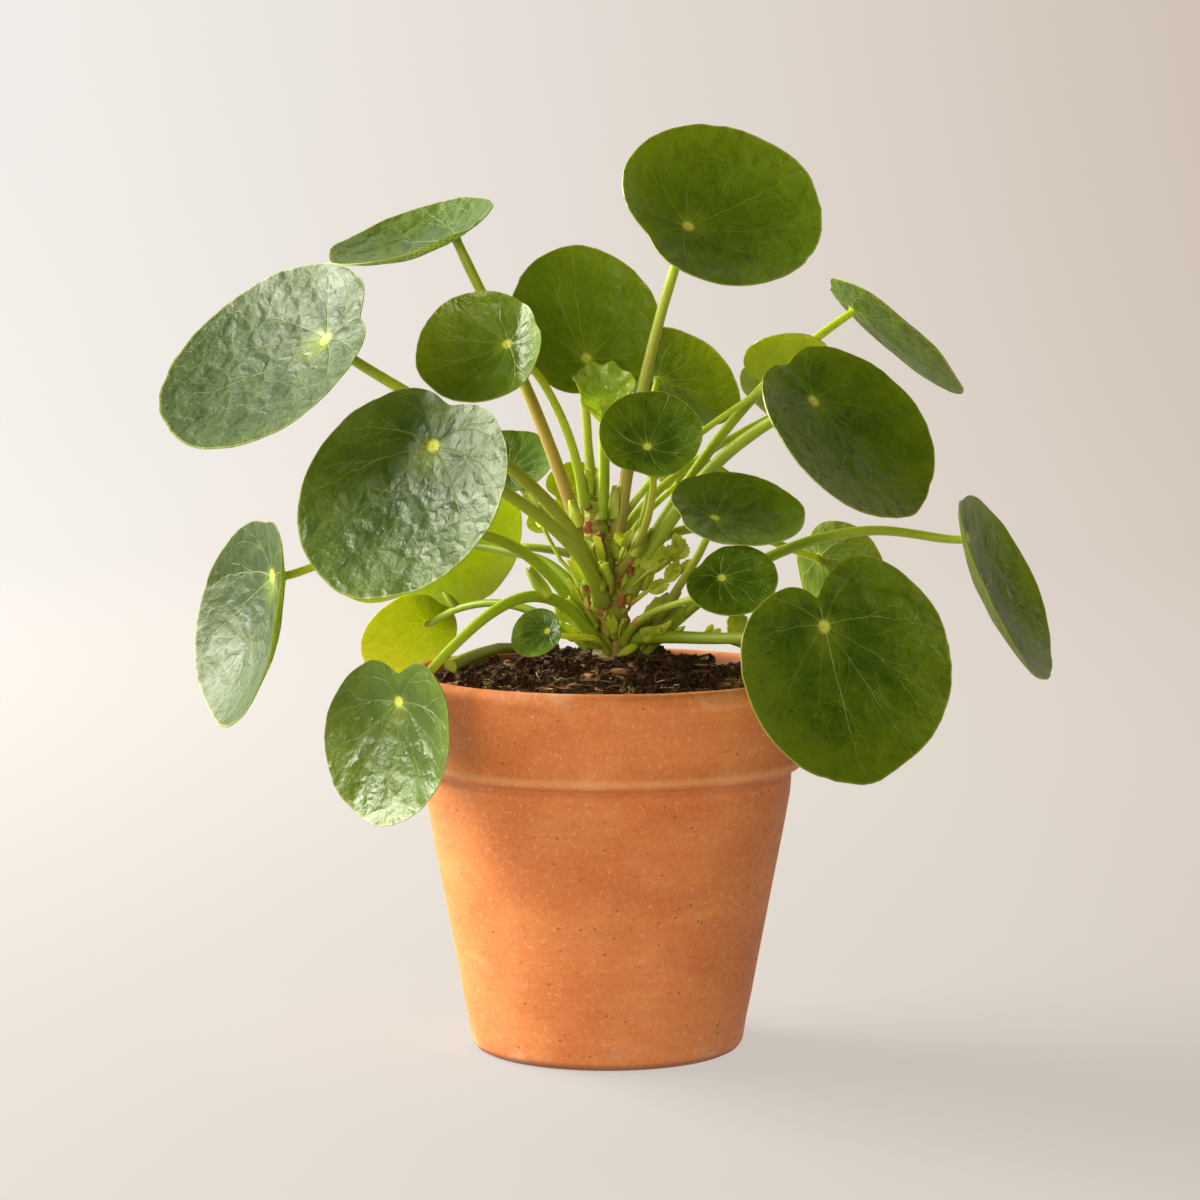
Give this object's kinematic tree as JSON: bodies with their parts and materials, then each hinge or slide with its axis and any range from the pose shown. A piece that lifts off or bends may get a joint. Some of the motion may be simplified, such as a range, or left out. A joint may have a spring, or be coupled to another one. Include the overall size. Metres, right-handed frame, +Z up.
{
  "type": "potted pilea plant",
  "caption": "Pilea with round shield-shaped leaves on long arching stalks, growing from a knobby trunk in a plain tapered terracotta pot.",
  "frame": {"origin": "centre of the pot's underside, on the surface it stands on", "axes": "+Z up, -Y the front of the plant as pictured, +X to its right; millimetres in the source"},
  "size_m": [0.3008, 0.2137, 0.3132],
  "materials": {
    "terracotta": "matte",
    "soil": "matte",
    "trunk": "matte",
    "leaf_stalk": "satin",
    "leaf_blade": "satin",
    "young_leaf": "satin"
  },
  "bodies": {
    "root": {"pot": "terracotta", "soil": "soil", "trunk": "trunk", "young_leaf": "young_leaf", "leaf_01_stalk": "leaf_stalk", "leaf_01_blade": "leaf_blade", "leaf_02_stalk": "leaf_stalk", "leaf_02_blade": "leaf_blade", "leaf_03_stalk": "leaf_stalk", "leaf_03_blade": "leaf_blade", "leaf_04_stalk": "leaf_stalk", "leaf_04_blade": "leaf_blade", "leaf_05_stalk": "leaf_stalk", "leaf_05_blade": "leaf_blade", "leaf_06_stalk": "leaf_stalk", "leaf_06_blade": "leaf_blade", "leaf_07_stalk": "leaf_stalk", "leaf_07_blade": "leaf_blade", "leaf_08_stalk": "leaf_stalk", "leaf_08_blade": "leaf_blade", "leaf_09_stalk": "leaf_stalk", "leaf_09_blade": "leaf_blade", "leaf_10_stalk": "leaf_stalk", "leaf_10_blade": "leaf_blade", "leaf_11_stalk": "leaf_stalk", "leaf_11_blade": "leaf_blade", "leaf_12_stalk": "leaf_stalk", "leaf_12_blade": "leaf_blade", "leaf_13_stalk": "leaf_stalk", "leaf_13_blade": "leaf_blade", "leaf_14_stalk": "leaf_stalk", "leaf_14_blade": "leaf_blade", "leaf_15_stalk": "leaf_stalk", "leaf_15_blade": "leaf_blade", "leaf_16_stalk": "leaf_stalk", "leaf_16_blade": "leaf_blade", "leaf_17_stalk": "leaf_stalk", "leaf_17_blade": "leaf_blade", "leaf_18_stalk": "leaf_stalk", "leaf_18_blade": "leaf_blade", "leaf_19_stalk": "leaf_stalk", "leaf_19_blade": "leaf_blade", "leaf_20_stalk": "leaf_stalk", "leaf_20_blade": "leaf_blade", "leaf_21_stalk": "leaf_stalk", "leaf_21_blade": "leaf_blade", "leaf_22_stalk": "leaf_stalk", "leaf_22_blade": "leaf_blade", "leaf_23_stalk": "leaf_stalk", "leaf_23_blade": "leaf_blade", "leaf_24_stalk": "leaf_stalk", "leaf_24_blade": "leaf_blade", "leaf_25_stalk": "leaf_stalk", "leaf_25_blade": "leaf_blade", "leaf_26_stalk": "leaf_stalk", "leaf_26_blade": "leaf_blade", "leaf_27_stalk": "leaf_stalk", "leaf_27_blade": "leaf_blade", "leaf_28_stalk": "leaf_stalk", "leaf_28_blade": "leaf_blade"}
  },
  "joints": []
}
